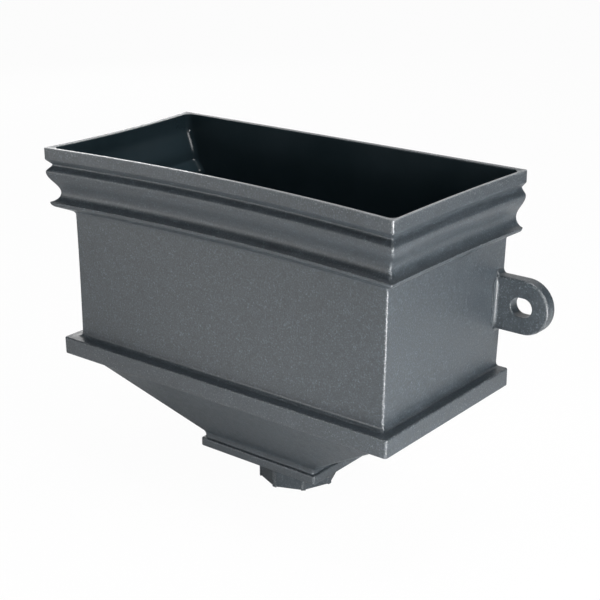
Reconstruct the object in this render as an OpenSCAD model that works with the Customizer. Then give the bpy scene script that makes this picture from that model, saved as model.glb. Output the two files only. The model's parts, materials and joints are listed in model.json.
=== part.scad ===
// Downpipe hopper head: one moulded plastic box with a cornice, a ledge, a funnel and a ribbed spigot.
// It hangs flat on a wall from two slotted lugs. Sizes are in millimetres.
// The origin is on the wall plane, midway between the two slots. +Z is up and the front faces -Y.

/* [Body] */
// Length of the box over its end walls
wall_length = 311; // [240:1:420]
// Depth of the box from the wall plane to its front
wall_depth = 156; // [135:1:220]
// Height from the underside of the ledge to the top of the rim
body_height = 178; // [150:1:260]
// Thickness of the moulded walls
wall = 4.5; // [3.5:0.1:6]
// How far each wall leans out from the ledge up to the cornice
wall_draft = 1.8; // [0:0.2:3]
// Rounding of the upright outside corners
corner_radius = 2; // [1.5:0.5:6]
// Rounding of the inside corners
inner_radius = 6; // [3:0.5:12]
// Rounding of the exposed edges
edge_radius = 1.2; // [0.6:0.1:1.6]

/* [Cornice] */
// How far the top band stands out from the wall
band_out = 16.2; // [13:0.1:24]
// Height of the top band
band_height = 10.5; // [8:0.5:16]
// How far the groove below the band steps in from the band
groove_in = 3.6; // [2:0.2:5]
// Height of the sloping step from the band to the groove
groove_height = 3.5; // [2:0.5:6]
// How far the bead stands out from the wall
bead_out = 16.2; // [14:0.2:20]
// Height from the groove to the crest of the bead
bead_height = 6.2; // [4:0.2:10]
// How far the hollow of the cove stands out from the wall
cove_out = 9; // [6:0.2:11]
// Height from the crest of the bead to the hollow of the cove
cove_height = 17.6; // [12:0.2:24]
// How far the lip stands out from the wall
lip_out = 15; // [12:0.5:20]
// Height from the hollow of the cove to the edge of the lip
lip_height = 7.7; // [6:0.1:12]
// Radius of the round nose under the lip
nose_radius = 4.5; // [3:0.5:6]

/* [Ledge] */
// How far the ledge stands out from the wall
ledge_out = 10.5; // [7:0.5:16]
// Thickness of the ledge
ledge_height = 15; // [8:0.5:20]
// Fillet where a wall meets a ledge or a lip
foot_fillet = 3; // [1.5:0.5:5]

/* [Funnel and outlet] */
// Height from the underside of the ledge to the top of the outlet plate
funnel_height = 67.5; // [50:0.5:100]
// Height of the upright neck between the funnel and the outlet plate
neck_height = 5; // [4:0.5:12]
// Length of the outlet plate
plate_length = 121.5; // [95:0.5:160]
// Depth of the outlet plate from the wall plane to its front
plate_depth = 115; // [95:1:125]
// Thickness of the outlet plate
plate_height = 7.5; // [6:0.5:14]
// How far the outlet plate stands out from the neck
plate_out = 2.6; // [2.5:0.1:6]
// Fillet where the neck meets the outlet plate
neck_fillet = 0.8; // [0.4:0.1:0.8]
// Diameter of the spigot over its ribs
spigot_diameter = 67.5; // [66:0.5:80]
// Width of the spigot across its flats
spigot_flats = 62; // [52:0.5:62]
// Length of the spigot below the outlet plate
spigot_length = 30; // [20:0.5:60]
// Least thickness of the spigot's wall
spigot_wall = 3; // [2.5:0.1:6]
// Distance from the wall plane to the spigot's axis
spigot_reach = 58.5; // [54:0.5:60]
// Number of ribs, each on a corner of the spigot
rib_count = 8; // [8:1:16]
// Width of a spigot rib
rib_width = 4; // [2:0.2:8]

/* [Fixing lugs] */
// Distance from the end wall to the centre of a slot
lug_reach = 25.5; // [23:0.5:40]
// Height of the slots above the underside of the ledge
lug_rise = 72; // [45:0.5:95]
// Radius of the round end of a lug
lug_radius = 22; // [16:0.5:26]
// Thickness of a lug
lug_thickness = 10.5; // [6:0.5:14]
// Fillet where a lug meets the end wall
lug_fillet = 4; // [2:0.5:8]
// Length of a slot
slot_length = 18.5; // [17.5:0.5:26]
// Width of a slot
slot_width = 15.5; // [10:0.5:17]

/* [Warp] */
// How far the front rim leans inwards at its corners
front_lean = 2.5; // [0:0.5:5]
// How far the middle of the front rim bows inwards beyond its corners
front_bow = 12; // [0:0.5:16]
// How far the middle of the left rim bows inwards
left_bow = 6; // [0:0.5:10]
// How far the middle of the right rim bows inwards
right_bow = 2; // [0:0.5:10]
// How far the back of the left rim splays out
left_splay = 1; // [0:0.5:5]
// How far the back of the right rim splays out
right_splay = 3.5; // [0:0.5:5]

/* [Hidden] */
$fn = 96;

// Steps that the long curves are divided into
front_steps = 12;
side_steps = 4;
corner_steps = 2;
curve_steps = 5;
edge_steps = 2;
wall_steps = 5;

// Stock beyond the wall plane that the flat back is cut from
back_stock = 20;
// How far a cut runs past the solid that it opens
cut_margin = 1;

// Heights in the part's own frame
ledge_z = -lug_rise;
ledge_top_z = ledge_z + ledge_height;
rim_z = ledge_z + body_height;
plate_top_z = ledge_z - funnel_height;
plate_z = plate_top_z - plate_height;
spigot_z = plate_z - spigot_length;
funnel_end_z = plate_top_z + neck_height;

// Plan sizes: half lengths along X, and depths from the wall plane
wall_half = wall_length / 2;
rim_half = wall_half + band_out;
rim_depth = wall_depth + band_out;
plate_half = plate_length / 2;
neck_half = plate_half - plate_out;
neck_depth = plate_depth - plate_out;

// Depths below the rim of the cornice's lines
groove_drop = band_height + groove_height;
bead_drop = groove_drop + bead_height;
cove_drop = bead_drop + cove_height;
lip_drop = cove_drop + lip_height;

// Turn of the hollow from the cove out to the lip's edge
lip_turn = 75;
// Turn of the nose from the lip's edge to the slope under it, which runs down to the wall
nose_turn = 65;
nose_end = [lip_out - nose_radius * (1 - cos(nose_turn)), lip_drop + nose_radius * sin(nose_turn)];
cornice_drop = nose_end[1] + (nose_end[0] - wall_draft) / tan(nose_turn);
// Straight stretch inside, between the hollow and the slope down to the wall
inner_step = 3;
// How far the inside of the funnel lies above its outside, which keeps its slopes about as thick as the walls
funnel_lift = wall / 2;

outlet_radius = spigot_flats / 2 - spigot_wall;
spigot_y = -spigot_reach;
slot_x = wall_half + lug_reach;
slot_run = slot_length - slot_width;
lug_end_x = slot_x + slot_run / 2;

// Curves of the cornice, as [out from the wall, depth below the rim]
function round_edge(x, d, r, from, to) =
    [for (i = [0:edge_steps]) let (a = from + (to - from) * i / edge_steps) [x + r * cos(a), d - r * sin(a)]];
function ogee(x0, d0, x1, d1) =
    [for (i = [1:curve_steps]) let (t = i / curve_steps)
        [x0 + (x1 - x0) * (1 - cos(180 * t)) / 2, d0 + (d1 - d0) * t]];
function hollow_to_lip() =
    [for (i = [1:curve_steps]) let (a = lip_turn * i / curve_steps)
        [cove_out + (lip_out - cove_out) * (1 - cos(a)) / (1 - cos(lip_turn)),
         cove_drop + lip_height * sin(a) / sin(lip_turn)]];
function soft_turn(start, corner, end) =
    [for (i = [0:edge_steps]) let (t = i / edge_steps)
        start * (1 - t) * (1 - t) + corner * 2 * t * (1 - t) + end * t * t];

// Outside of the cornice, from the rim down to the wall
groove_out = band_out - groove_in;
cornice_curve = concat(
    round_edge(band_out - edge_radius, edge_radius, edge_radius, 90, 0),
    round_edge(band_out - edge_radius, band_height - edge_radius, edge_radius, 0, -45),
    [[groove_out, groove_drop]],
    ogee(groove_out, groove_drop, bead_out, bead_drop),
    ogee(bead_out, bead_drop, cove_out, cove_drop),
    hollow_to_lip(),
    [for (i = [1:curve_steps]) let (a = nose_turn * i / curve_steps)
        [lip_out - nose_radius * (1 - cos(a)), lip_drop + nose_radius * sin(a)]],
    soft_turn([wall_draft, cornice_drop] + foot_fillet * [sin(nose_turn), -cos(nose_turn)],
              [wall_draft, cornice_drop],
              [wall_draft, cornice_drop + foot_fillet]));

// Inside of the cornice, from the rim down to the wall
inner_band = band_out - wall;
inner_cove = cove_out - wall;
inner_slope_drop = cove_drop + inner_step;
inner_curve = concat(
    round_edge(inner_band + edge_radius, edge_radius, edge_radius, 90, 180),
    [[inner_band, band_height]],
    ogee(inner_band, band_height, inner_cove, cove_drop),
    [[inner_cove, inner_slope_drop], [wall_draft - wall, inner_slope_drop + cove_out]]);

// A ring is [half length, depth of the front, place of the back, corner radius, height]
function outer_ring(out, z) = [wall_half + out, wall_depth + out, back_stock + out, corner_radius, z];
function inner_ring(out, z) = [wall_half + out, wall_depth + out, -wall, inner_radius, z];
function plate_ring(out, z) = [plate_half + out, plate_depth + out, back_stock + out, corner_radius, z];

plate_rings = [
    plate_ring(0, plate_z),
    for (p = round_edge(-edge_radius, edge_radius, edge_radius, 0, 90))
        plate_ring(p[0], plate_top_z - p[1])];

neck_rings = [
    for (i = [0:edge_steps]) let (a = 90 * i / edge_steps)
        plate_ring(neck_fillet * (1 - sin(a)) - plate_out, plate_top_z + neck_fillet * (1 - cos(a))),
    plate_ring(-plate_out, funnel_end_z)];

ledge_rings = [
    outer_ring(0, ledge_z),
    outer_ring(ledge_out - edge_radius, ledge_z),
    outer_ring(ledge_out, ledge_z + edge_radius),
    for (p = round_edge(ledge_out - edge_radius, edge_radius, edge_radius, 0, 90))
        outer_ring(p[0], ledge_top_z - p[1]),
    for (i = [0:edge_steps]) let (a = 90 * i / edge_steps)
        outer_ring(foot_fillet * (1 - sin(a)), ledge_top_z + foot_fillet * (1 - cos(a)))];

wall_low_z = ledge_top_z + foot_fillet;
wall_high_z = rim_z - cornice_drop - foot_fillet;
// How far the draft has taken the walls out at a height
function draft(z) = wall_draft * max(0, min(1, (z - wall_low_z) / (wall_high_z - wall_low_z)));
wall_rings = [for (i = [1:wall_steps - 1])
    let (z = wall_low_z + (wall_high_z - wall_low_z) * i / wall_steps) outer_ring(draft(z), z)];

cornice_rings = [for (i = [len(cornice_curve) - 1:-1:0]) outer_ring(cornice_curve[i][0], rim_z - cornice_curve[i][1])];

inner_high_z = rim_z - inner_slope_drop - cove_out;
inner_low_z = ledge_z + funnel_lift;
inner_rings = [
    for (p = inner_curve) inner_ring(p[0], rim_z - p[1]),
    for (i = [1:wall_steps])
        let (z = inner_high_z + (inner_low_z - inner_high_z) * i / wall_steps) inner_ring(draft(z) - wall, z),
    for (z = [funnel_end_z + funnel_lift, plate_top_z])
        [neck_half - wall, neck_depth - wall, -wall, inner_radius, z]];

rings = concat(plate_rings, neck_rings, ledge_rings, wall_rings, cornice_rings, inner_rings);

// Plan of a ring: a rounded rectangle, seen from above and running anticlockwise from its back right corner
function corner(x, y, r, from) =
    [for (i = [0:corner_steps]) let (a = from + 90 * i / corner_steps) [x + r * cos(a), y + r * sin(a)]];
function between(p, q, steps) = [for (i = [1:steps - 1]) p + (q - p) * i / steps];
function plan(half, front, back, r) = concat(
    corner(half - r, back - r, r, 0),
    corner(r - half, back - r, r, 90),
    between([-half, back - r], [-half, r - front], side_steps),
    corner(r - half, r - front, r, 180),
    between([r - half, -front], [half - r, -front], front_steps),
    corner(half - r, r - front, r, 270),
    between([half, r - front], [half, back - r], side_steps));

// Warp of the open box: walls bow inwards and ends splay, from nothing at the ledge to the most at the rim
function rise(z) = sin(90 * max(0, min(1, (z - ledge_top_z) / (rim_z - ledge_top_z))));
function bowed(p, z) =
    let (u = p[0] / rim_half, v = -p[1] / rim_depth,
         side_bow = u > 0 ? right_bow : left_bow, side_splay = u > 0 ? right_splay : left_splay)
    [p[0] + rise(z) * u * (side_splay - side_bow * 4 * v) * (1 - v),
     p[1] + rise(z) * v * (front_lean + front_bow * (1 - u * u)),
     z];

// The box, cornice, ledge, funnel and outlet plate as one skin, hollow and open at the top
module shell() {
    ring_size = 4 * (corner_steps + 1) + 2 * (side_steps - 1) + front_steps - 1;
    last_ring = (len(rings) - 1) * ring_size;
    skin = [for (r = rings) for (p = plan(r[0], r[1], r[2], r[3])) bowed(p, r[4])];
    centres = [[0, spigot_y, plate_z], [0, spigot_y, plate_top_z]];
    sides = [for (k = [0:len(rings) - 2]) for (i = [0:ring_size - 1])
        let (j = (i + 1) % ring_size, low = k * ring_size, high = low + ring_size)
        each [[low + i, high + i, high + j], [low + i, high + j, low + j]]];
    caps = [for (i = [0:ring_size - 1])
        let (j = (i + 1) % ring_size)
        each [[len(skin), i, j], [len(skin) + 1, last_ring + j, last_ring + i]]];
    polyhedron(concat(skin, centres), concat(sides, caps));
}

// The flat-sided spigot that enters the downpipe, with a rib on each corner, rising into the outlet plate
module spigot() {
    seat = plate_height / 2;
    rib_depth = spigot_diameter / 2 - outlet_radius - spigot_wall / 2;
    translate([0, spigot_y, spigot_z]) {
        cylinder(d = spigot_flats / cos(180 / rib_count), h = spigot_length + seat, $fn = rib_count);
        for (i = [0:rib_count - 1])
            rotate([0, 0, 360 * i / rib_count])
                translate([spigot_diameter / 2 - rib_depth, -rib_width / 2, 0])
                    cube([rib_depth, rib_width, spigot_length + seat]);
    }
}

module slot_outline() {
    square([slot_run, slot_width], center = true);
    for (x = [-slot_run / 2, slot_run / 2])
        translate([x, 0])
            circle(d = slot_width);
}

// Fillet between a lug and the end wall, in the corner at the origin
module fillet_outline() {
    difference() {
        translate([-wall / 2, 0])
            square([lug_fillet + wall / 2, lug_fillet]);
        translate([lug_fillet, lug_fillet])
            circle(r = lug_fillet);
    }
}

// Places of the end walls' outer faces at the lugs
right_root = bowed([wall_half + draft(0), 0], 0)[0];
left_root = -bowed([-wall_half - draft(0), 0], 0)[0];

// A lug, drawn on the right: a plate with a slot, flat on the wall plane, its end rounded about the slot's outer end
module fixing_lug(wall_x) {
    root_x = wall_x - wall / 2;
    rotate([90, 0, 0])
        translate([0, 0, -back_stock])
            linear_extrude(lug_thickness + back_stock)
                difference() {
                    union() {
                        translate([lug_end_x, 0])
                            circle(r = lug_radius);
                        translate([root_x, -lug_radius])
                            square([lug_end_x - root_x, 2 * lug_radius]);
                        for (side = [0, 1])
                            mirror([0, side])
                                translate([wall_x, lug_radius])
                                    fillet_outline();
                    }
                    translate([slot_x, 0])
                        slot_outline();
                }
    translate([wall_x, -lug_thickness, -lug_radius])
        linear_extrude(2 * lug_radius)
            mirror([0, 1])
                fillet_outline();
}

module wall_cut() {
    span = 2 * (lug_end_x + lug_radius);
    translate([-span / 2, 0, spigot_z])
        cube([span, 2 * back_stock, rim_z - spigot_z + cut_margin]);
}

module hopper_head() {
    color("dimgray")
        difference() {
            union() {
                shell();
                spigot();
                fixing_lug(right_root);
                mirror([1, 0, 0])
                    fixing_lug(left_root);
            }
            wall_cut();
            translate([0, spigot_y, spigot_z - cut_margin])
                cylinder(r = outlet_radius, h = spigot_length + plate_height + 2 * cut_margin);
        }
}

hopper_head();
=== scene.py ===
import json
import math

import bmesh
import bpy
from mathutils import Matrix, Vector


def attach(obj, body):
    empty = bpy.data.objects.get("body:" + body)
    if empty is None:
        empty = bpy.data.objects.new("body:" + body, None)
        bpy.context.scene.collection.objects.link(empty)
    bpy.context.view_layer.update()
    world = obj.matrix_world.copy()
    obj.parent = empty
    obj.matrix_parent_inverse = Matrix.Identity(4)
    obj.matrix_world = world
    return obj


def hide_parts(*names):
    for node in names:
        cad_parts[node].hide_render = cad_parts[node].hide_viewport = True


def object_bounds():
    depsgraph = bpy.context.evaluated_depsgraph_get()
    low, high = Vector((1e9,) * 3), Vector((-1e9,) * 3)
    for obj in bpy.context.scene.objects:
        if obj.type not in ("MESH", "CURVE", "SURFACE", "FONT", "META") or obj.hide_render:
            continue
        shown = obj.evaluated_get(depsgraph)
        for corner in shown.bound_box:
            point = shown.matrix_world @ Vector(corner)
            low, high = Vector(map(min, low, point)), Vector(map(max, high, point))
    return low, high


# Downpipe hopper head: a moulded plastic box with a cornice, a ledge and a funnel.
# Under it is a ribbed spigot, and at its ends are two slotted lugs.
# Metres, in the part's frame: the wall is the plane y = 0, +Z is up and the front faces -Y.
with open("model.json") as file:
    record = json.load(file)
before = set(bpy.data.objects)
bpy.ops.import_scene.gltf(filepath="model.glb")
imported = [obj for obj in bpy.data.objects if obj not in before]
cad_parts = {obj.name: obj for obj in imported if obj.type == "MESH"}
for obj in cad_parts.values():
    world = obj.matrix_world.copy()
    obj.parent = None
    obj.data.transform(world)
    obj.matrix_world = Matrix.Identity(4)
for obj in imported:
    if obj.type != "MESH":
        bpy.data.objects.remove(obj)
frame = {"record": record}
cad_low, cad_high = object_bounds()

# Sizes and places from the frame
MM = 0.001
mounts = {mount["name"]: mount for mount in frame["record"]["mounts"]}
lug_sizes = mounts["fixing_lugs"]["dims"]
bore_sizes = mounts["outlet_bore"]["dims"]
SLOT_X = lug_sizes["spacing_x_mm"] / 2 * MM
SLOT_RADIUS = lug_sizes["hole_r_mm"] * MM
SLOT_RUN = lug_sizes["slot_length_mm"] * MM - 2 * SLOT_RADIUS
OUTLET_RADIUS = bore_sizes["r_mm"] * MM
SPIGOT_Y = mounts["outlet_bore"]["pos_m"][1]
SPIGOT_Z = cad_low.z
PLATE_TOP_Z = SPIGOT_Z + bore_sizes["length_mm"] * MM
RIM_Z = cad_high.z
LUG_TIP_X = cad_high.x

# Body
WALL_LENGTH = 0.311
WALL_DEPTH = 0.156
BODY_HEIGHT = 0.178
WALL_THICKNESS = 0.0045
WALL_DRAFT = 0.0018
CORNER_RADIUS = 0.002
BACK_RADIUS = 0.0008
INNER_RADIUS = 0.006
EDGE_RADIUS = 0.0012
# Border round the flat back, so that the polish and painted highlight of its edges stay at its edges
BACK_BORDER = 0.0003
# Rounding of the rim, its fall inwards, and the lining's shift along the box at the rim
RIM_EDGE = 0.0007
RIM_FALL = 0.0004
RIM_SHIFT = 0.0012

# Cornice
BAND_OUT = 0.0162
BAND_HEIGHT = 0.0105
GROOVE_IN = 0.0036
GROOVE_HEIGHT = 0.0035
BEAD_OUT = 0.0162
BEAD_HEIGHT = 0.0062
COVE_OUT = 0.009
COVE_HEIGHT = 0.0176
LIP_OUT = 0.015
LIP_HEIGHT = 0.0077
# Turn of the hollow above the lip, in degrees
LIP_TURN = 75
NOSE_RADIUS = 0.0045
# Turn of the round nose under the lip, in degrees
NOSE_TURN = 65
INNER_STEP = 0.003

# Ledge, funnel and outlet
LEDGE_OUT = 0.0105
LEDGE_HEIGHT = 0.015
FOOT_FILLET = 0.003
NECK_HEIGHT = 0.005
PLATE_LENGTH = 0.1215
PLATE_DEPTH = 0.115
PLATE_HEIGHT = 0.0075
PLATE_OUT = 0.0026
NECK_FILLET = 0.0008
FUNNEL_ROUND = 0.003
SPIGOT_DIAMETER = 0.0675
SPIGOT_FLATS = 0.062
SPIGOT_EDGE = 0.0008
RIB_COUNT = 8
RIB_WIDTH = 0.004
RIB_ROUND = 0.0006
# Points of a rib that are nearer to each other than this are joined
RIB_MERGE = 1e-6

# Fixing lugs
LUG_RADIUS = 0.022
LUG_THICKNESS = 0.0105
LUG_FILLET = 0.004
LUG_ROUND = 0.002
SLOT_ROUND = 0.0008
# How far the backs of the lugs lie inside the back, so that no two faces share a plane
LUG_SET_IN = 0.0001
# Power by which the fillet at a lug's root fades out, and the share of its reach that it takes
ROOT_FADE = 8
ROOT_SHARE = 0.98

# Warp of the open box at its rim
FRONT_LEAN = 0.0025
FRONT_BOW = 0.012
LEFT_BOW = 0.006
RIGHT_BOW = 0.002
LEFT_SPLAY = 0.001
RIGHT_SPLAY = 0.0035

# Steps that curves and long stretches are divided into
FRONT_STEPS = 96
SIDE_STEPS = 40
BACK_STEPS = 40
CORNER_STEPS = 6
CURVE_STEPS = 14
EDGE_STEPS = 5
WALL_STEPS = 12

# Shading of the skin, and the polish and painted highlight of its edges
# Turn between two faces, in degrees, from which their edge is shaded as sharp
SHARP_ANGLE = 40
# Turns between two faces, in degrees, at which their edge starts to take the polish and painted highlight,
# and takes them fully
EDGE_TURN_START = 6
EDGE_TURN_FULL = 14
# Share of polish and painted highlight on level and upright edges, beside the rim, which takes the most
LEVEL_SHARE = 0.4
UPRIGHT_SHARE = 0.45
# Faces with more corners than this are the flat back and the ends of ribs and fillets, and are shaded flat
SKIN_CORNERS = 4
# Attribute that holds how far each point takes the polish and painted highlight of the edges
EDGE_SHINE = "edge_polish_and_highlight"
# Places of the two plastics in a mesh's list of materials
OUTSIDE = 0
INSIDE = 1

# Places worked out from the sizes
WALL_HALF = WALL_LENGTH / 2
RIM_HALF = WALL_HALF + BAND_OUT
RIM_DEPTH = WALL_DEPTH + BAND_OUT
PLATE_HALF = PLATE_LENGTH / 2
PLATE_Z = PLATE_TOP_Z - PLATE_HEIGHT
FUNNEL_END_Z = PLATE_TOP_Z + NECK_HEIGHT
LEDGE_Z = RIM_Z - BODY_HEIGHT
LEDGE_TOP_Z = LEDGE_Z + LEDGE_HEIGHT
FUNNEL_LIFT = WALL_THICKNESS / 2
LIP_ROUND = EDGE_RADIUS / 4
ROOT_SUNK = WALL_THICKNESS / 3
LUG_END_X = LUG_TIP_X - LUG_RADIUS
GROOVE_Z = RIM_Z - BAND_HEIGHT - GROOVE_HEIGHT
BEAD_Z = GROOVE_Z - BEAD_HEIGHT
COVE_Z = BEAD_Z - COVE_HEIGHT
LIP_Z = COVE_Z - LIP_HEIGHT
INNER_SLOPE_Z = COVE_Z - INNER_STEP
NOSE_SLOPE = math.tan(math.radians(90 - NOSE_TURN))
NOSE_END_OUT = LIP_OUT - NOSE_RADIUS * (1 - math.cos(math.radians(NOSE_TURN)))
NOSE_END_Z = LIP_Z - NOSE_RADIUS * math.sin(math.radians(NOSE_TURN))
WALL_LOW_Z = LEDGE_TOP_Z + FOOT_FILLET
WALL_HIGH_Z = NOSE_END_Z - (NOSE_END_OUT - WALL_DRAFT) * NOSE_SLOPE - FOOT_FILLET


# Curves
# A point of the cornice is (out from the wall, height).

def along(start, end, share):
    """The point, or the ring, that lies a share of the way from one to the other."""
    return tuple(a + (b - a) * share for a, b in zip(start, end))


def between(start, end, steps):
    """The points that divide a straight stretch, without its ends."""
    return [along(start, end, i / steps) for i in range(1, steps)]


def arc(centre, radius, start, end, steps):
    """Points on an arc, with angles in degrees."""
    angles = [math.radians(start + (end - start) * i / steps) for i in range(steps + 1)]
    return [(centre[0] + radius * math.cos(a), centre[1] + radius * math.sin(a)) for a in angles]


def soft_turn(before, corner, after, reach, steps=EDGE_STEPS):
    """A rounded turn that leaves each leg at a given reach from the corner."""
    start = along(corner, before, reach / math.dist(corner, before))
    end = along(corner, after, reach / math.dist(corner, after))
    shares = [i / steps for i in range(steps + 1)]
    return [along(along(start, corner, t), along(corner, end, t), t) for t in shares]


def ogee(start, end):
    """An S curve in the cornice, upright at both ends, without its start."""
    points = []
    for i in range(1, CURVE_STEPS + 1):
        t = i / CURVE_STEPS
        out = start[0] + (end[0] - start[0]) * (1 - math.cos(math.pi * t)) / 2
        points.append((out, start[1] + (end[1] - start[1]) * t))
    return points


def hollow_to_lip():
    """The hollow from the cove out to the edge of the lip, without its start."""
    points = []
    full = math.radians(LIP_TURN)
    for i in range(1, CURVE_STEPS + 1):
        turn = full * i / CURVE_STEPS
        out = COVE_OUT + (LIP_OUT - COVE_OUT) * (1 - math.cos(turn)) / (1 - math.cos(full))
        points.append((out, COVE_Z - LIP_HEIGHT * math.sin(turn) / math.sin(full)))
    return points


def cornice_curve():
    """The outside of the cornice below the band's face, from the top down."""
    band_centre = (BAND_OUT - EDGE_RADIUS, RIM_Z - BAND_HEIGHT + EDGE_RADIUS)
    band_edge = arc(band_centre, EDGE_RADIUS, 0, -45, EDGE_STEPS)
    groove = (BAND_OUT - GROOVE_IN, GROOVE_Z)
    bead = ogee(groove, (BEAD_OUT, BEAD_Z))
    cove = ogee((BEAD_OUT, BEAD_Z), (COVE_OUT, COVE_Z))
    hollow = hollow_to_lip()
    nose = arc((LIP_OUT - NOSE_RADIUS, LIP_Z), NOSE_RADIUS, 0, -NOSE_TURN, CURVE_STEPS)
    lip = soft_turn(hollow[-2], hollow[-1], nose[2], LIP_ROUND)
    wall_top = (WALL_DRAFT, WALL_HIGH_Z + FOOT_FILLET)
    wall_below = (WALL_DRAFT, WALL_HIGH_Z)
    foot = soft_turn(nose[-1], wall_top, wall_below, FOOT_FILLET)
    return band_edge + [groove] + bead + cove + hollow[:-1] + lip + nose[2:] + foot


def inner_curve():
    """The inside of the cornice, from below the rim's edge down to the wall."""
    band = (BAND_OUT - WALL_THICKNESS, RIM_Z - BAND_HEIGHT)
    hollow = (COVE_OUT - WALL_THICKNESS, COVE_Z)
    step = (hollow[0], INNER_SLOPE_Z)
    foot = (WALL_DRAFT - WALL_THICKNESS, INNER_SLOPE_Z - COVE_OUT)
    below = (WALL_DRAFT - WALL_THICKNESS, foot[1] - COVE_OUT)
    slope = soft_turn(hollow, step, foot, EDGE_RADIUS) + soft_turn(step, foot, below, EDGE_RADIUS)
    return [band] + ogee(band, hollow) + slope


# Rings
# A ring is (half length, front depth, back depth, front corner radius, back corner radius, height).

def wall_ring(out, z, back=0.0):
    """A ring of the outside of the box."""
    return (WALL_HALF + out, WALL_DEPTH + out, back, CORNER_RADIUS, BACK_RADIUS, z)


def plate_ring(out, z, back=0.0):
    """A ring of the outlet plate and the neck above it."""
    return (PLATE_HALF + out, PLATE_DEPTH + out, back, CORNER_RADIUS, BACK_RADIUS, z)


def inner_ring(out, z, back=WALL_THICKNESS):
    """A ring of the inside of the box."""
    return (WALL_HALF + out, WALL_DEPTH + out, back, INNER_RADIUS, INNER_RADIUS, z)


def inner_plate_ring(z):
    """A ring of the inside of the neck."""
    inset = PLATE_OUT + WALL_THICKNESS
    return (PLATE_HALF - inset, PLATE_DEPTH - inset, WALL_THICKNESS, INNER_RADIUS, INNER_RADIUS, z)


def draft(z):
    """How far the walls have leaned out at a height."""
    return WALL_DRAFT * max(0.0, min(1.0, (z - WALL_LOW_Z) / (WALL_HIGH_Z - WALL_LOW_Z)))


def bowed(x, y, z):
    """A point of the straight box, moved by the warp that grows from the ledge to the rim."""
    climb = (z - LEDGE_TOP_Z) / (RIM_Z - LEDGE_TOP_Z)
    rise = math.sin(math.pi / 2 * max(0.0, min(1.0, climb)))
    across = x / RIM_HALF
    forward = -y / RIM_DEPTH
    side_bow, side_splay = (RIGHT_BOW, RIGHT_SPLAY) if x > 0 else (LEFT_BOW, LEFT_SPLAY)
    splay = across * (side_splay - side_bow * 4 * forward) * (1 - forward)
    lean = forward * (FRONT_LEAN + FRONT_BOW * (1 - across * across))
    return (x + rise * splay, y + rise * lean, z)


def plan(ring):
    """Points round a ring, clockwise from its back right corner, with the straight back last."""
    half, front, back, corner, back_corner, z = ring
    back_y, front_y = -back - back_corner, corner - front
    points = arc((half - back_corner, back_y), back_corner, 90, 0, CORNER_STEPS)
    points += between((half, back_y), (half, front_y), SIDE_STEPS)
    points += arc((half - corner, front_y), corner, 0, -90, CORNER_STEPS)
    points += between((half - corner, -front), (corner - half, -front), FRONT_STEPS)
    points += arc((corner - half, front_y), corner, -90, -180, CORNER_STEPS)
    points += between((-half, front_y), (-half, back_y), SIDE_STEPS)
    points += arc((back_corner - half, back_y), back_corner, 180, 90, CORNER_STEPS)
    points += between((back_corner - half, -back), (half - back_corner, -back), BACK_STEPS)
    return [bowed(x, y, z) for x, y in points]


# Points of a ring before its straight back
OPEN_COUNT = len(plan(wall_ring(0, LEDGE_Z))) - (BACK_STEPS - 1)
# Directions from the spigot's axis to the points of the outlet plate
SPIGOT_ANGLES = [math.atan2(y - SPIGOT_Y, x) for x, y, _ in plan(plate_ring(0, PLATE_Z))]


def circle(radius, z):
    """Points round the spigot's axis, each in the direction of the same point of the outlet plate."""
    return [(radius * math.cos(a), SPIGOT_Y + radius * math.sin(a), z) for a in SPIGOT_ANGLES]


def flat_sided(out, z):
    """Points round the spigot's flats, moved out by a given amount, with the corners at the ribs."""
    points = []
    side = 2 * math.pi / RIB_COUNT
    for a in SPIGOT_ANGLES:
        radius = (SPIGOT_FLATS / 2 + out) / math.cos(a % side - side / 2)
        points.append((radius * math.cos(a), SPIGOT_Y + radius * math.sin(a), z))
    return points


# Rows of points that make the skin of the moulding, in order

def bore_rows():
    """From the floor of the hopper down the outlet's bore to the foot of the spigot."""
    mouth = arc((OUTLET_RADIUS + SPIGOT_EDGE, PLATE_TOP_Z - SPIGOT_EDGE), SPIGOT_EDGE, 90, 180, EDGE_STEPS)
    foot = arc((OUTLET_RADIUS + SPIGOT_EDGE, SPIGOT_Z + SPIGOT_EDGE), SPIGOT_EDGE, 180, 270, EDGE_STEPS)
    return [circle(radius, z) for radius, z in mouth + foot]


def spigot_rows():
    """Up the outside of the spigot and across the underside of the outlet plate to its lower edge."""
    foot = arc((-SPIGOT_EDGE, SPIGOT_Z + SPIGOT_EDGE), SPIGOT_EDGE, -90, 0, EDGE_STEPS)
    root = arc((SPIGOT_EDGE, PLATE_Z - SPIGOT_EDGE), SPIGOT_EDGE, 180, 90, EDGE_STEPS)
    edge = arc((-SPIGOT_EDGE, PLATE_Z + SPIGOT_EDGE), SPIGOT_EDGE, -90, 0, EDGE_STEPS)
    rows = [flat_sided(out, z) for out, z in foot + root]
    return rows + [plan(plate_ring(out, z, -out)) for out, z in edge]


def funnel_rings():
    """From the outlet plate's top edge up the neck and the funnel to the underside of the ledge."""
    top_edge = arc((-EDGE_RADIUS, PLATE_TOP_Z - EDGE_RADIUS), EDGE_RADIUS, 0, 90, EDGE_STEPS)
    neck_centre = (NECK_FILLET - PLATE_OUT, PLATE_TOP_Z + NECK_FILLET)
    neck_foot = arc(neck_centre, NECK_FILLET, -90, -180, EDGE_STEPS)
    rings = [plate_ring(out, z) for out, z in top_edge + neck_foot]
    neck_top = plate_ring(-PLATE_OUT, FUNNEL_END_Z)
    funnel_top = wall_ring(0, LEDGE_Z)
    ledge_under = wall_ring(LEDGE_OUT - EDGE_RADIUS, LEDGE_Z)
    rings += soft_turn(rings[-1], neck_top, funnel_top, FUNNEL_ROUND)
    rings += soft_turn(neck_top, funnel_top, ledge_under, FUNNEL_ROUND)
    return rings


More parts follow.
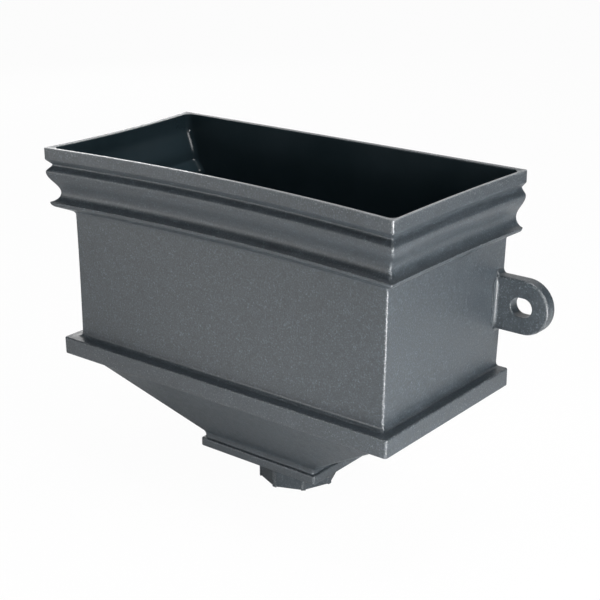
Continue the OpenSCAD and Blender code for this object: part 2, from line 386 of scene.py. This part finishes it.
def wall_rings():
    """From the ledge's lower edge up the wall and the cornice to the band's face."""
    lower_edge = arc((LEDGE_OUT - EDGE_RADIUS, LEDGE_Z + EDGE_RADIUS), EDGE_RADIUS, -90, 0, EDGE_STEPS)
    upper_edge = arc((LEDGE_OUT - EDGE_RADIUS, LEDGE_TOP_Z - EDGE_RADIUS), EDGE_RADIUS, 0, 90, EDGE_STEPS)
    foot = arc((FOOT_FILLET, LEDGE_TOP_Z + FOOT_FILLET), FOOT_FILLET, -90, -180, EDGE_STEPS)
    cornice = list(reversed(cornice_curve()))
    face = between(foot[-1], cornice[0], WALL_STEPS)
    return [wall_ring(out, z) for out, z in lower_edge + upper_edge + foot + face + cornice]


def rim_rows():
    """Over the rounded outer edge of the rim."""
    edge = arc((BAND_OUT - RIM_EDGE, RIM_Z - RIM_EDGE), RIM_EDGE, 0, 90, EDGE_STEPS)
    return [plan(wall_ring(out, z, BAND_OUT - out)) for out, z in edge]


def lining(ring):
    """Points round a ring of the inside, which sits a little to the right where it nears the rim."""
    climb = max(0.0, (ring[-1] - COVE_Z) / (RIM_Z - COVE_Z))
    return [(x + RIM_SHIFT * climb, y, z) for x, y, z in plan(ring)]


def inner_rows():
    """From the rim's inner edge down the inside of the cornice, the walls and the funnel to the floor."""
    inner_band = BAND_OUT - WALL_THICKNESS
    edge = arc((inner_band + RIM_EDGE, RIM_Z - RIM_FALL - RIM_EDGE), RIM_EDGE, 90, 180, EDGE_STEPS)
    rings = [inner_ring(out, z, WALL_THICKNESS - (out - inner_band)) for out, z in edge]
    rings += [inner_ring(out, z) for out, z in inner_curve()]
    funnel_top = inner_ring(-WALL_THICKNESS, LEDGE_Z + FUNNEL_LIFT)
    funnel_end = inner_plate_ring(FUNNEL_END_Z + FUNNEL_LIFT)
    floor = inner_plate_ring(PLATE_TOP_Z)
    wall_foot = inner_ring(-WALL_THICKNESS, WALL_LOW_Z)
    rings += between(rings[-1], wall_foot, WALL_STEPS) + [wall_foot]
    rings += soft_turn(wall_foot, funnel_top, funnel_end, FUNNEL_ROUND)
    rings += soft_turn(funnel_top, funnel_end, floor, FUNNEL_ROUND)
    rings.append(floor)
    return [lining(ring) for ring in rings]


# Meshes

def mark_shiny_edges(bm):
    """Stores how far each point lies on a tight outward edge, for the polish and the painted highlight of
    the material's edges.
    """
    shine_layer = bm.verts.layers.float.new(EDGE_SHINE)
    for vert in bm.verts:
        sharpest, share = 0.0, 0.0
        for edge in vert.link_edges:
            turn = math.degrees(edge.calc_face_angle_signed(0.0))
            run = edge.verts[1].co - edge.verts[0].co
            upright = abs(run.z) > run.length / 2
            if turn > sharpest:
                sharpest, share = turn, UPRIGHT_SHARE if upright else LEVEL_SHARE
        # The rim takes the strongest painted highlight and polish
        if vert.co.z > RIM_Z - EDGE_RADIUS:
            share = 1.0
        vert[shine_layer] = share * max(0.0, min(1.0, (sharpest - EDGE_TURN_START) / (EDGE_TURN_FULL - EDGE_TURN_START)))


def plain(made):
    """The object with what its modifiers make as its own mesh."""
    evaluated = made.evaluated_get(bpy.context.evaluated_depsgraph_get())
    mesh = bpy.data.meshes.new_from_object(evaluated)
    made.modifiers.clear()
    made.data = mesh
    mesh.name = made.name
    return made


def finished_mesh(name, bm, materials):
    """A shaded mesh object whose flat faces stay flat beside their rounded edges."""
    bmesh.ops.recalc_face_normals(bm, faces=bm.faces)
    mark_shiny_edges(bm)
    for face in bm.faces:
        face.smooth = len(face.verts) <= SKIN_CORNERS
    mesh = bpy.data.meshes.new(name)
    bm.to_mesh(mesh)
    bm.free()
    for material in materials:
        mesh.materials.append(material)
    mesh.set_sharp_from_angle(angle=math.radians(SHARP_ANGLE))
    made = bpy.data.objects.new(name, mesh)
    bpy.context.scene.collection.objects.link(made)
    weighting = made.modifiers.new("flat_faces", "WEIGHTED_NORMAL")
    weighting.keep_sharp = True
    return plain(made)


def skin(bm, rows, material_index, closed=True):
    """Strips of faces between each row of points and the next."""
    for low, high in zip(rows, rows[1:]):
        count = len(low)
        for i in range(count if closed else count - 1):
            j = (i + 1) % count
            face = bm.faces.new((low[i], low[j], high[j], high[i]))
            face.material_index = material_index


def moulded_body(outside, inside):
    """The box with its cornice, ledge, funnel, outlet plate and spigot, as one closed skin."""
    bm = bmesh.new()

    def placed(rows):
        return [[bm.verts.new(point) for point in row] for row in rows]

    bore = placed(bore_rows())
    spigot = placed(spigot_rows())
    sides = placed([plan(ring)[:OPEN_COUNT] for ring in funnel_rings() + wall_rings()])
    rim = placed(rim_rows())
    inner = placed(inner_rows())

    front = [spigot[-1][:OPEN_COUNT]] + sides + [rim[0][:OPEN_COUNT]]
    skin(bm, bore, INSIDE)
    skin(bm, [bore[-1]] + spigot, OUTSIDE)
    skin(bm, front, OUTSIDE, closed=False)
    skin(bm, rim + [inner[0]], OUTSIDE)
    skin(bm, inner + [bore[0]], INSIDE)

    last = OPEN_COUNT - 1
    plate_back = spigot[-1][last:] + [spigot[-1][0]]
    rim_back = [rim[0][0]] + list(reversed(rim[0][last:]))
    right_edge = [row[0] for row in sides]
    left_edge = [row[last] for row in reversed(sides)]
    back = bm.faces.new(plate_back + right_edge + rim_back + left_edge)
    bmesh.ops.inset_individual(bm, faces=[back], thickness=BACK_BORDER)
    return finished_mesh("moulded_body", bm, [outside, inside])


def wall_shift(z, side):
    """How far the draft and the warp move the back of an end wall out at a height."""
    return side * bowed(side * (WALL_HALF + draft(z)), 0.0, z)[0] - WALL_HALF


def lug_outline(inset):
    """The edge of a lug, drawn in by an inset, as (x, z), from its upper root round to its lower root."""
    root_x = WALL_HALF - WALL_THICKNESS / 2
    fillet_x = WALL_HALF + LUG_FILLET
    fillet_z = LUG_RADIUS + LUG_FILLET
    upper = arc((fillet_x, fillet_z), LUG_FILLET + inset, 180, 270, EDGE_STEPS)
    end = arc((LUG_END_X, 0.0), LUG_RADIUS - inset, 90, -90, 4 * CURVE_STEPS)
    lower = arc((fillet_x, -fillet_z), LUG_FILLET + inset, 90, 180, EDGE_STEPS)
    return [(root_x, fillet_z)] + upper + end + lower + [(root_x, -fillet_z)]


def slot_outline(grow):
    """The edge of a slot, widened by a given amount, as (x, z)."""
    radius = SLOT_RADIUS + grow
    outer = arc((SLOT_X + SLOT_RUN / 2, 0.0), radius, 90, -90, 2 * CURVE_STEPS)
    inner = arc((SLOT_X - SLOT_RUN / 2, 0.0), radius, -90, -270, 2 * CURVE_STEPS)
    return outer + inner


def lug_point(x, y, z, side):
    """A point of a lug, moved with the end wall at the root and not at all from the slot outwards."""
    slot_start = SLOT_X - SLOT_RUN / 2 - SLOT_RADIUS - SLOT_ROUND
    hold = max(0.0, min(1.0, (slot_start - x) / (slot_start - WALL_HALF)))
    return (side * (x + hold * wall_shift(z, side)), y - LUG_SET_IN, z)


def rounded_through(edge_round, back_round):
    """Rows through the lug's thickness, as (inset, y), with rounded back and front edges."""
    back = arc((back_round, back_round), back_round, 270, 180, EDGE_STEPS)
    front = arc((edge_round, LUG_THICKNESS - edge_round), edge_round, 180, 90, EDGE_STEPS)
    return [(inset, -depth) for inset, depth in back + front]


def closed_edges(bm, row):
    """The edges that join a row of points into a loop."""
    return [bm.edges.get((row[i - 1], row[i])) for i in range(len(row))]


def lug_plate(bm, side):
    """One lug: a plate with rounded edges and a slot through it."""
    rims = []
    for outline, rows in (
        (lug_outline, rounded_through(LUG_ROUND, BACK_RADIUS)),
        (slot_outline, rounded_through(SLOT_ROUND, BACK_RADIUS)),
    ):
        loops = []
        for inset, y in rows:
            loops.append([bm.verts.new(lug_point(x, y, z, side)) for x, z in outline(inset)])
        skin(bm, loops, OUTSIDE)
        rims.append((loops[0], loops[-1]))
    for end in (0, 1):
        edges = closed_edges(bm, rims[0][end]) + closed_edges(bm, rims[1][end])
        bmesh.ops.triangle_fill(bm, use_beauty=True, use_dissolve=False, edges=edges)


def lug_root(bm, side):
    """The fillet between the front of a lug and the end wall, fading out at its two ends."""
    reach = LUG_RADIUS - LUG_ROUND / 2
    loops = []
    for i in range(CURVE_STEPS * 2 + 1):
        share = (i / CURVE_STEPS - 1) * ROOT_SHARE
        size = LUG_FILLET * (1 - share ** ROOT_FADE)
        x, y, z = WALL_HALF, -LUG_THICKNESS, reach * share
        outline = arc((x + size, y - size), size, 90, 180, EDGE_STEPS)
        sunk_x, sunk_y = x - ROOT_SUNK, y + ROOT_SUNK
        outline += [(sunk_x, y - size), (sunk_x, sunk_y), (x + size, sunk_y)]
        loops.append([bm.verts.new(lug_point(px, py, z, side)) for px, py in outline])
    skin(bm, loops, OUTSIDE)
    bm.faces.new(loops[0])
    bm.faces.new(loops[-1])


def fixing_lugs(outside):
    """The two slotted lugs at the ends of the box."""
    bm = bmesh.new()
    for side in (1, -1):
        lug_plate(bm, side)
        lug_root(bm, side)
    return finished_mesh("fixing_lugs", bm, [outside])


def rib_tree(material):
    """Geometry nodes that stand rounded ribs round the spigot."""
    tree = bpy.data.node_groups.new("spigot_ribs", "GeometryNodeTree")
    face = tree.interface
    face.new_socket("Geometry", in_out="OUTPUT", socket_type="NodeSocketGeometry")
    for label, kind in (
        ("Rib count", "NodeSocketInt"),
        ("Ring radius", "NodeSocketFloat"),
        ("Rib width", "NodeSocketFloat"),
        ("Rib depth", "NodeSocketFloat"),
        ("Rib length", "NodeSocketFloat"),
        ("Edge round", "NodeSocketFloat"),
        ("Place", "NodeSocketVector"),
    ):
        face.new_socket(label, in_out="INPUT", socket_type=kind)

    def node(kind, **settings):
        made = tree.nodes.new(kind)
        for key, value in settings.items():
            setattr(made, key, value)
        return made

    def wire(source, output, target, inlet):
        tree.links.new(source.outputs[output], target.inputs[inlet])

    given = node("NodeGroupInput")
    result = node("NodeGroupOutput")
    outline = node("GeometryNodeCurvePrimitiveQuadrilateral")
    wire(given, "Rib depth", outline, "Width")
    wire(given, "Rib width", outline, "Height")
    rounded = node("GeometryNodeFilletCurve", mode="POLY")
    rounded.inputs["Count"].default_value = EDGE_STEPS
    wire(outline, "Curve", rounded, "Curve")
    wire(given, "Edge round", rounded, "Radius")
    foot = node("GeometryNodeFillCurve", mode="NGONS")
    wire(rounded, "Curve", foot, "Curve")
    raised = node("GeometryNodeExtrudeMesh")
    raised.inputs["Individual"].default_value = False
    upwards = node("ShaderNodeCombineXYZ")
    wire(given, "Rib length", upwards, "Z")
    wire(foot, "Mesh", raised, "Mesh")
    wire(upwards, "Vector", raised, "Offset")
    under = node("GeometryNodeFlipFaces")
    wire(foot, "Mesh", under, "Mesh")
    solid = node("GeometryNodeJoinGeometry")
    wire(raised, "Mesh", solid, "Geometry")
    wire(under, "Mesh", solid, "Geometry")
    rib = node("GeometryNodeMergeByDistance")
    rib.inputs["Distance"].default_value = RIB_MERGE
    wire(solid, "Geometry", rib, "Geometry")
    ring = node("GeometryNodeMeshCircle")
    wire(given, "Rib count", ring, "Vertices")
    wire(given, "Ring radius", ring, "Radius")
    place = node("GeometryNodeInputPosition")
    facing = node("FunctionNodeAlignRotationToVector", axis="X", pivot_axis="Z")
    wire(place, "Position", facing, "Vector")
    ribs = node("GeometryNodeInstanceOnPoints")
    wire(ring, "Mesh", ribs, "Points")
    wire(rib, "Geometry", ribs, "Instance")
    wire(facing, "Rotation", ribs, "Rotation")
    placed = node("GeometryNodeTransform")
    wire(ribs, "Instances", placed, "Geometry")
    wire(given, "Place", placed, "Translation")
    real = node("GeometryNodeRealizeInstances")
    wire(placed, "Geometry", real, "Geometry")
    coated = node("GeometryNodeSetMaterial")
    coated.inputs["Material"].default_value = material
    wire(real, "Geometry", coated, "Geometry")
    wire(coated, "Geometry", result, "Geometry")
    return tree


def spigot_ribs(outside):
    """The ribs round the spigot that grip the downpipe's socket."""
    depth = (SPIGOT_DIAMETER / 2 - OUTLET_RADIUS) / 2
    values = {
        "Rib count": RIB_COUNT,
        "Ring radius": (SPIGOT_DIAMETER - depth) / 2,
        "Rib width": RIB_WIDTH,
        "Rib depth": depth,
        "Rib length": PLATE_Z - SPIGOT_Z,
        "Edge round": RIB_ROUND,
        "Place": (0.0, SPIGOT_Y, SPIGOT_Z),
    }
    made = bpy.data.objects.new("spigot_ribs", bpy.data.meshes.new("spigot_ribs"))
    bpy.context.scene.collection.objects.link(made)
    maker = made.modifiers.new("ribs", "NODES")
    maker.node_group = rib_tree(outside)
    for socket in maker.node_group.interface.items_tree:
        if socket.in_out == "INPUT":
            maker[socket.identifier] = values[socket.name]
    plain(made)
    bm = bmesh.new()
    bm.from_mesh(made.data)
    bpy.data.objects.remove(made)
    return finished_mesh("spigot_ribs", bm, [outside])


# Materials

# Repeats of each noise in a metre, on the outside and in the lining
GRAIN_SCALE = 800.0
MOTTLE_SCALE = 190.0
CLOUD_SCALE = 22.0
LINING_GRAIN_SCALE = 500.0
LINING_CLOUD_SCALE = 14.0
# Range that most of a noise's values lie in
NOISE_LOW = 0.3
NOISE_HIGH = 0.7
# Colours of the plastic, each from its darkest to its palest
DULL_DARK, DULL_PALE = (0.022, 0.03, 0.037), (0.034, 0.044, 0.053)
CLEAR_DARK, CLEAR_PALE = (0.027, 0.036, 0.042), (0.039, 0.05, 0.061)
LINING_DARK, LINING_PALE = (0.01, 0.019, 0.024), (0.018, 0.03, 0.037)
# How the grain darkens and lightens the plastic, up to its pale specks, which are partly the grain's own
# tone and partly painted glints
GRAIN_SPECKS_AND_GLINTS = [
    (0.3, (0.62, 0.62, 0.63)),
    (0.5, (1.0, 1.0, 1.0)),
    (0.62, (1.45, 1.45, 1.43)),
    (0.75, (3.5, 3.45, 3.4)),
]
# Sums of the edge mark and grain at which the edges start to take the painted highlight and polish, and
# take them fully
SHINE_START = 1.0
SHINE_FULL = 1.35
# Colour of the painted highlight on the edges, and the roughness of their polish
HIGHLIGHT_COLOUR = (0.2, 0.212, 0.222, 1.0)
POLISHED_ROUGHNESS = 0.2
# Roughness of the outside and of the lining, each from its glossiest to its dullest
SATIN_LOW, SATIN_HIGH = 0.36, 0.48
LINING_LOW, LINING_HIGH = 0.2, 0.28
# Strength and depth of the grain's relief, on the outside and in the lining
RELIEF_STRENGTH, RELIEF_DEPTH = 0.35, 0.0004
LINING_STRENGTH, LINING_DEPTH = 0.12, 0.0003
PLASTIC_IOR = 1.5


class Shader:
    """A material's node tree, with short calls to add and join nodes."""

    def __init__(self, owner):
        owner.use_nodes = True
        self.tree = owner.node_tree
        self.tree.nodes.clear()

    def node(self, kind, sockets=None, **settings):
        made = self.tree.nodes.new(kind)
        for key, value in settings.items():
            setattr(made, key, value)
        for key, value in (sockets or {}).items():
            made.inputs[key].default_value = value
        return made

    def wire(self, source, output, target, inlet):
        self.tree.links.new(source.outputs[output], target.inputs[inlet])

    def noise(self, coords, scale, detail, roughness=0.5):
        made = self.node("ShaderNodeTexNoise", {"Scale": scale, "Detail": detail, "Roughness": roughness})
        self.wire(coords, "Object", made, "Vector")
        return made

    def ramp(self, source, output, stops):
        made = self.node("ShaderNodeValToRGB")
        elements = made.color_ramp.elements
        while len(elements) < len(stops):
            elements.new(1.0)
        for element, (position, colour) in zip(elements, stops):
            element.position = position
            element.color = (*colour, 1.0)
        self.wire(source, output, made, "Fac")
        return made

    def shade(self, noise, dark, pale):
        """A colour that runs from dark to pale as the noise runs over its usual range."""
        return self.ramp(noise, "Fac", [(NOISE_LOW, dark), (NOISE_HIGH, pale)])

    def spread(self, noise, low, high):
        """A value that runs from low to high as the noise runs over its usual range."""
        given = {"From Min": NOISE_LOW, "From Max": NOISE_HIGH}
        made = self.node("ShaderNodeMapRange", {**given, "To Min": low, "To Max": high})
        self.wire(noise, "Fac", made, "Value")
        return made


def grained_plastic():
    """Satin dark grey plastic with a fine moulded grain, soft mottling, and polished edges with a painted
    highlight.
    """
    material = bpy.data.materials.new("grained_plastic")
    shader = Shader(material)
    coords = shader.node("ShaderNodeTexCoord")
    grain = shader.noise(coords, GRAIN_SCALE, 2.0, 0.6)
    mottle = shader.noise(coords, MOTTLE_SCALE, 2.0)
    cloud = shader.noise(coords, CLOUD_SCALE, 3.0)
    ground = shader.node("ShaderNodeMix", data_type="RGBA")
    shader.wire(cloud, "Fac", ground, "Factor")
    shader.wire(shader.shade(mottle, DULL_DARK, DULL_PALE), "Color", ground, "A")
    shader.wire(shader.shade(mottle, CLEAR_DARK, CLEAR_PALE), "Color", ground, "B")
    # Grain multiplied into the colour, its brightest specks being painted glints
    grain_and_glints = shader.node("ShaderNodeMix", {"Factor": 1.0}, data_type="RGBA", blend_type="MULTIPLY")
    shader.wire(ground, "Result", grain_and_glints, "A")
    shader.wire(shader.ramp(grain, "Fac", GRAIN_SPECKS_AND_GLINTS), "Color", grain_and_glints, "B")
    shine_mark = shader.node("ShaderNodeAttribute", attribute_name=EDGE_SHINE)
    reached = shader.node("ShaderNodeMath", operation="ADD")
    shader.wire(shine_mark, "Fac", reached, 0)
    shader.wire(shader.spread(grain, 0.0, 1.0), "Result", reached, 1)
    shine_share = shader.node("ShaderNodeMapRange", {"From Min": SHINE_START, "From Max": SHINE_FULL})
    shader.wire(reached, "Value", shine_share, "Value")
    # The paler colour on the edges is a painted highlight; the lower roughness there is their polish
    colour = shader.node("ShaderNodeMix", {"B": HIGHLIGHT_COLOUR}, data_type="RGBA")
    shader.wire(grain_and_glints, "Result", colour, "A")
    shader.wire(shine_share, "Result", colour, "Factor")
    roughness = shader.node("ShaderNodeMix", {"B": POLISHED_ROUGHNESS})
    shader.wire(shader.spread(mottle, SATIN_LOW, SATIN_HIGH), "Result", roughness, "A")
    shader.wire(shine_share, "Result", roughness, "Factor")
    relief = shader.node("ShaderNodeBump", {"Strength": RELIEF_STRENGTH, "Distance": RELIEF_DEPTH})
    shader.wire(grain, "Fac", relief, "Height")
    surface = shader.node("ShaderNodeBsdfPrincipled", {"IOR": PLASTIC_IOR, "Specular IOR Level": 1.0})
    shader.wire(colour, "Result", surface, "Base Color")
    shader.wire(roughness, "Result", surface, "Roughness")
    shader.wire(relief, "Normal", surface, "Normal")
    output = shader.node("ShaderNodeOutputMaterial")
    shader.wire(surface, "BSDF", output, "Surface")
    return material


def smooth_plastic():
    """The same plastic where the mould was polished: darker, smoother and faintly clouded."""
    material = bpy.data.materials.new("smooth_plastic")
    shader = Shader(material)
    coords = shader.node("ShaderNodeTexCoord")
    cloud = shader.noise(coords, LINING_CLOUD_SCALE, 4.0)
    grain = shader.noise(coords, LINING_GRAIN_SCALE, 2.0)
    relief = shader.node("ShaderNodeBump", {"Strength": LINING_STRENGTH, "Distance": LINING_DEPTH})
    shader.wire(grain, "Fac", relief, "Height")
    surface = shader.node("ShaderNodeBsdfPrincipled", {"IOR": PLASTIC_IOR})
    shader.wire(shader.shade(cloud, LINING_DARK, LINING_PALE), "Color", surface, "Base Color")
    shader.wire(shader.spread(cloud, LINING_LOW, LINING_HIGH), "Result", surface, "Roughness")
    shader.wire(relief, "Normal", surface, "Normal")
    output = shader.node("ShaderNodeOutputMaterial")
    shader.wire(surface, "BSDF", output, "Surface")
    return material


# Stage, light and camera

FLOOR_HALF = 8.0
PAPER_COLOUR = (0.88, 0.88, 0.88, 1.0)
# Share of plain white in the paper, as the camera sees it and as the plastic mirrors it
SEEN_WHITE = 0.97
MIRRORED_WHITE = 0.05
# Level of the dim room round the object
ROOM_LEVEL = 0.02
# Middle of the white backdrop, as a direction from the object in degrees
BACKDROP_AZIMUTH = 236
BACKDROP_ELEVATION = 10
# Cosines of the angles from its middle at which the backdrop ends and is fully white
BACKDROP_END = 0.78
BACKDROP_FULL = 0.9
# Camera, with its place in metres, its angles in degrees and its lens in millimetres
CAMERA_PLACE = Vector((0.66486, -0.88275, 0.36507))
CAMERA_AZIMUTH = 38.766
CAMERA_ELEVATION = 19.945
CAMERA_ROLL = -0.556
CAMERA_LENS = 82.257
SENSOR_WIDTH = 36.0


def direction(azimuth, elevation):
    """The direction from the object, with azimuth 0 in front and 90 to the right, in degrees."""
    a, e = math.radians(azimuth), math.radians(elevation)
    return Vector((math.sin(a) * math.cos(e), -math.cos(a) * math.cos(e), math.sin(e)))


def by_ray(shader, common, mirrored, seen):
    """One shader for most rays, one for what the gloss mirrors and one for what the camera sees."""
    rays = shader.node("ShaderNodeLightPath")
    direct = shader.node("ShaderNodeMath", operation="MAXIMUM")
    shader.wire(rays, "Is Camera Ray", direct, 0)
    shader.wire(rays, "Is Transmission Ray", direct, 1)
    unseen = shader.node("ShaderNodeMixShader")
    shader.wire(rays, "Is Glossy Ray", unseen, "Fac")
    shader.wire(common, 0, unseen, 1)
    shader.wire(mirrored, 0, unseen, 2)
    shown = shader.node("ShaderNodeMixShader")
    shader.wire(direct, "Value", shown, "Fac")
    shader.wire(unseen, "Shader", shown, 1)
    shader.wire(seen, 0, shown, 2)
    return shown


def white_paper():
    """White paper under the object, seen almost as plain white but keeping a soft shadow."""
    material = bpy.data.materials.new("white_paper")
    shader = Shader(material)
    paper = shader.node("ShaderNodeBsdfDiffuse", {"Color": PAPER_COLOUR})
    white = shader.node("ShaderNodeEmission", {"Color": (1.0, 1.0, 1.0, 1.0), "Strength": 1.0})
    seen = shader.node("ShaderNodeMixShader", {"Fac": SEEN_WHITE})
    mirrored = shader.node("ShaderNodeMixShader", {"Fac": MIRRORED_WHITE})
    for mixed in (seen, mirrored):
        shader.wire(paper, "BSDF", mixed, 1)
        shader.wire(white, "Emission", mixed, 2)
    output = shader.node("ShaderNodeOutputMaterial")
    shader.wire(by_ray(shader, paper, mirrored, seen), "Shader", output, "Surface")
    return material


def paper_floor():
    """A wide sheet of white paper under the spigot."""
    signs = [(-1, -1), (1, -1), (1, 1), (-1, 1)]
    corners = [(x * FLOOR_HALF, y * FLOOR_HALF, SPIGOT_Z) for x, y in signs]
    mesh = bpy.data.meshes.new("paper_floor")
    mesh.from_pydata(corners, [], [(0, 1, 2, 3)])
    mesh.materials.append(white_paper())
    made = bpy.data.objects.new("paper_floor", mesh)
    bpy.context.scene.collection.objects.link(made)
    return made


def room_light():
    """A dim room with a white backdrop behind the object, which the rim mirrors."""
    world = bpy.data.worlds.new("room")
    shader = Shader(world)
    coords = shader.node("ShaderNodeTexCoord")
    middle = direction(BACKDROP_AZIMUTH, BACKDROP_ELEVATION)
    nearness = shader.node("ShaderNodeVectorMath", {1: middle}, operation="DOT_PRODUCT")
    shader.wire(coords, "Generated", nearness, 0)
    dim = (ROOM_LEVEL, ROOM_LEVEL, ROOM_LEVEL)
    white = (SEEN_WHITE, SEEN_WHITE, SEEN_WHITE)
    shade = shader.ramp(nearness, "Value", [(BACKDROP_END, dim), (BACKDROP_FULL, (1.0, 1.0, 1.0))])
    room = shader.node("ShaderNodeBackground", {"Color": (*dim, 1.0), "Strength": 1.0})
    seen = shader.node("ShaderNodeBackground", {"Color": (*white, 1.0), "Strength": 1.0})
    backdrop = shader.node("ShaderNodeBackground", {"Strength": 1.0})
    shader.wire(shade, "Color", backdrop, "Color")
    output = shader.node("ShaderNodeOutputWorld")
    shader.wire(by_ray(shader, room, backdrop, seen), "Shader", output, "Surface")
    bpy.context.scene.world = world


def soft_box(name, azimuth, elevation, distance, size, power):
    """A square studio light that faces the middle of the hopper."""
    middle = Vector((0.0, -WALL_DEPTH / 2, (RIM_Z + SPIGOT_Z) / 2))
    light = bpy.data.lights.new(name, "AREA")
    light.shape = "SQUARE"
    light.size = size
    light.energy = power
    made = bpy.data.objects.new(name, light)
    bpy.context.scene.collection.objects.link(made)
    towards = direction(azimuth, elevation)
    made.location = middle + towards * distance
    made.rotation_mode = "QUATERNION"
    made.rotation_quaternion = (-towards).to_track_quat("-Z", "Y")
    made.visible_camera = False


def photo_camera():
    """The camera at the photo's viewing angle."""
    back = direction(CAMERA_AZIMUTH, CAMERA_ELEVATION)
    azimuth = math.radians(CAMERA_AZIMUTH)
    level = Vector((math.cos(azimuth), math.sin(azimuth), 0.0))
    upright = back.cross(level)
    roll = math.radians(CAMERA_ROLL)
    right = level * math.cos(roll) + upright * math.sin(roll)
    up = upright * math.cos(roll) - level * math.sin(roll)
    lens = bpy.data.cameras.new("photo_camera")
    lens.lens = CAMERA_LENS
    lens.sensor_width = SENSOR_WIDTH
    made = bpy.data.objects.new("photo_camera", lens)
    bpy.context.scene.collection.objects.link(made)
    turn = Matrix((right, up, back)).transposed().to_4x4()
    made.matrix_world = Matrix.Translation(CAMERA_PLACE) @ turn
    bpy.context.scene.camera = made


# The hopper and its stage

grained = grained_plastic()
smooth = smooth_plastic()
for piece in (moulded_body(grained, smooth), fixing_lugs(grained), spigot_ribs(grained)):
    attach(piece, "root")
    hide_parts("hopper_head")

paper_floor()
room_light()
# Lights, with azimuth and elevation in degrees, distance and size in metres and power in watts
soft_box("overhead", 0, 90, 1.0, 0.6, 5.8)
soft_box("right_key", 86, 30, 1.7, 0.9, 16.8)
soft_box("front_fill", -20, 2, 1.7, 0.9, 11.4)
soft_box("back_light", 180, 50, 1.7, 0.9, 4.5)
soft_box("back_rim", 230, 12, 2.0, 0.5, 3.7)
soft_box("low_right", 64, -5, 0.65, 0.14, 3.2)
soft_box("camera_side", 42, 12, 1.2, 0.06, 1.2)
photo_camera()

bpy.context.scene.view_settings.view_transform = "Standard"
